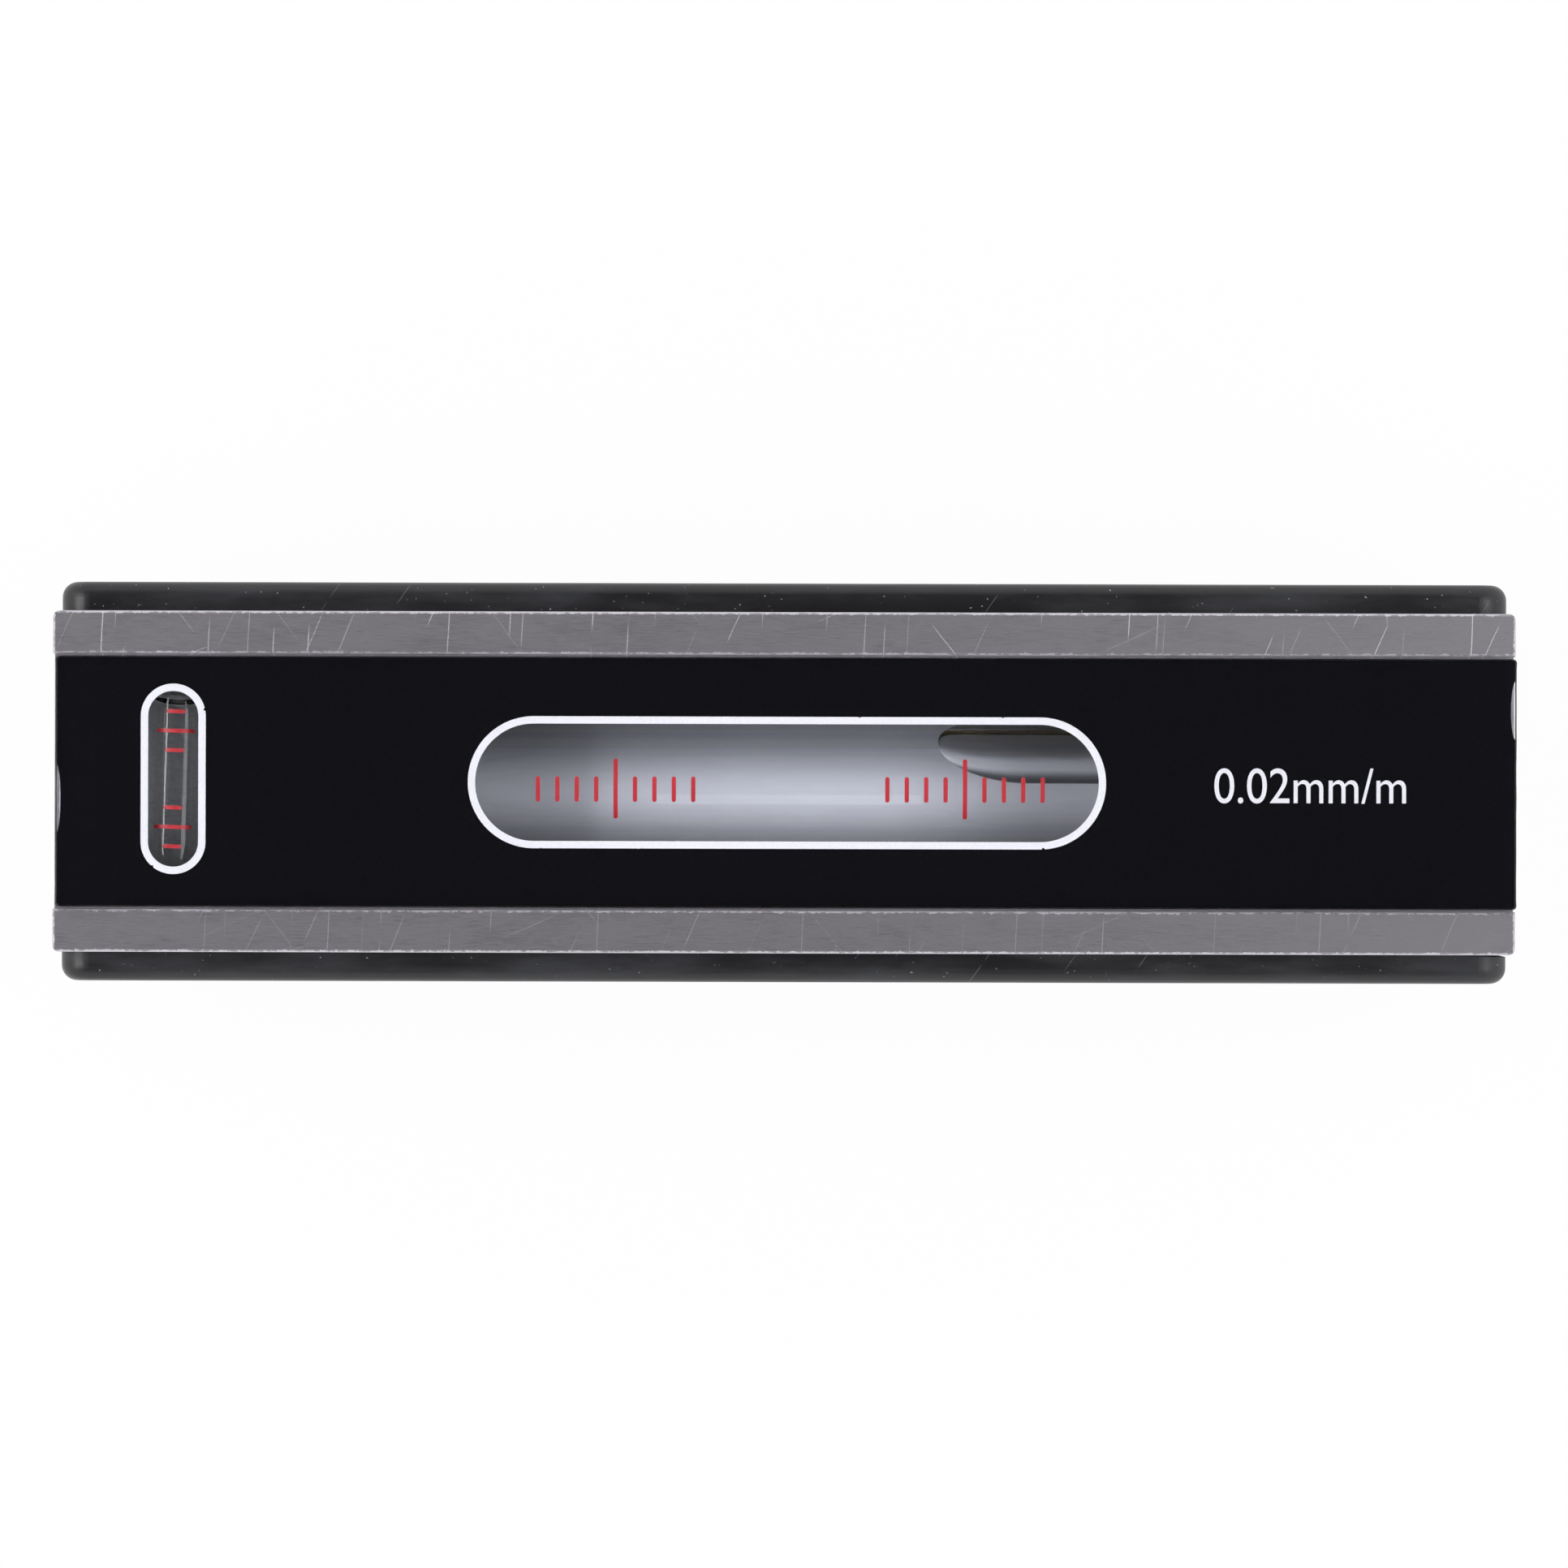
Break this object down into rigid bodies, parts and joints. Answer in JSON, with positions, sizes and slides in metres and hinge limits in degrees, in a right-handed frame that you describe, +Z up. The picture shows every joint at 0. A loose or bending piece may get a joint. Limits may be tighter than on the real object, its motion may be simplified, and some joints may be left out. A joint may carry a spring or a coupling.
{
  "type": "precision machinist level",
  "caption": "Precision bar level with ground iron base, V-groove, black cover, main and cross bubble vials, red scales, zero-adjusted vial carrier and moulded side grips.",
  "frame": {"origin": "centre of the base's underside, midway along and across the casting", "axes": "+X along the level towards the graduation value, +Y across it towards the rear grip, +Z up out of the cover"},
  "size_m": [0.1501, 0.041, 0.04],
  "materials": {
    "ground_iron": "satin",
    "clear_acrylic": "gloss",
    "black_print": "gloss",
    "white_print": "satin",
    "clear_adhesive": "satin",
    "black_moulding": "satin",
    "blackened_steel": "satin",
    "bright_steel": "satin",
    "turned_brass": "satin",
    "white_plaster": "matte",
    "clear_glass": "gloss",
    "vial_spirit": "gloss",
    "vial_gas": "gloss",
    "red_enamel": "satin",
    "black_cradle": "matte"
  },
  "bodies": {
    "base": {"casting": "ground_iron", "cover_plate": "clear_acrylic", "cover_backprint": "black_print", "window_borders": "white_print", "cover_adhesive": "clear_adhesive", "front_grip": "black_moulding", "rear_grip": "black_moulding", "front_grip_screws": "blackened_steel", "rear_grip_screws": "blackened_steel", "pivot_pin": "bright_steel", "carrier_spring": "bright_steel", "cross_vial_cradle": "black_cradle", "cross_vial_glass": "clear_glass", "cross_vial_caps": "white_plaster", "cross_vial_liquid": "vial_spirit", "cross_scale_marks": "red_enamel"},
    "carrier": {"carrier_tube": "turned_brass", "carrier_pivot_plug": "turned_brass", "carrier_adjusting_plug": "turned_brass", "vial_lining": "white_plaster", "main_vial_beds": "white_plaster", "main_vial_glass": "clear_glass", "main_vial_liquid": "vial_spirit", "main_scale_marks": "red_enamel"},
    "main_gas": {"main_bubble": "vial_gas"},
    "washer": {"thrust_washer": "bright_steel"},
    "adjuster": {"zero_screw": "bright_steel"},
    "cross_gas": {"cross_bubble": "vial_gas"}
  },
  "joints": [
    {"name": "carrier_tilt", "type": "hinge", "parent": "base", "child": "carrier", "pos_m": [-0.0514, 0, 0.0277], "axis": [0, -1, 0], "range_deg": [-0.27, 0.27], "deforming": ["carrier_spring"]},
    {"name": "main_bubble_travel", "type": "slide", "parent": "carrier", "child": "main_gas", "axis": [1, 0, 0], "range_m": [-0.053, 0], "deforming": ["main_vial_liquid"]},
    {"name": "zero_screw_advance", "type": "slide", "parent": "base", "child": "washer", "axis": [0, 0, 1], "range_m": [-0.0005, 0.0005]},
    {"name": "zero_screw_turn", "type": "hinge", "parent": "washer", "child": "adjuster", "pos_m": [0.0541, 0, 0.0277], "axis": [0, 0, 1], "range_deg": [-360, 360]},
    {"name": "cross_bubble_travel", "type": "slide", "parent": "base", "child": "cross_gas", "axis": [0.0314, 0.9995, 0], "range_m": [-0.0174, 0], "deforming": ["cross_vial_liquid"]}
  ],
  "couplings": [
    {"joint": "zero_screw_advance", "follows": "carrier_tilt", "m_per_rad": 0.1055},
    {"joint": "zero_screw_turn", "follows": "carrier_tilt", "ratio": 1325.8}
  ]
}
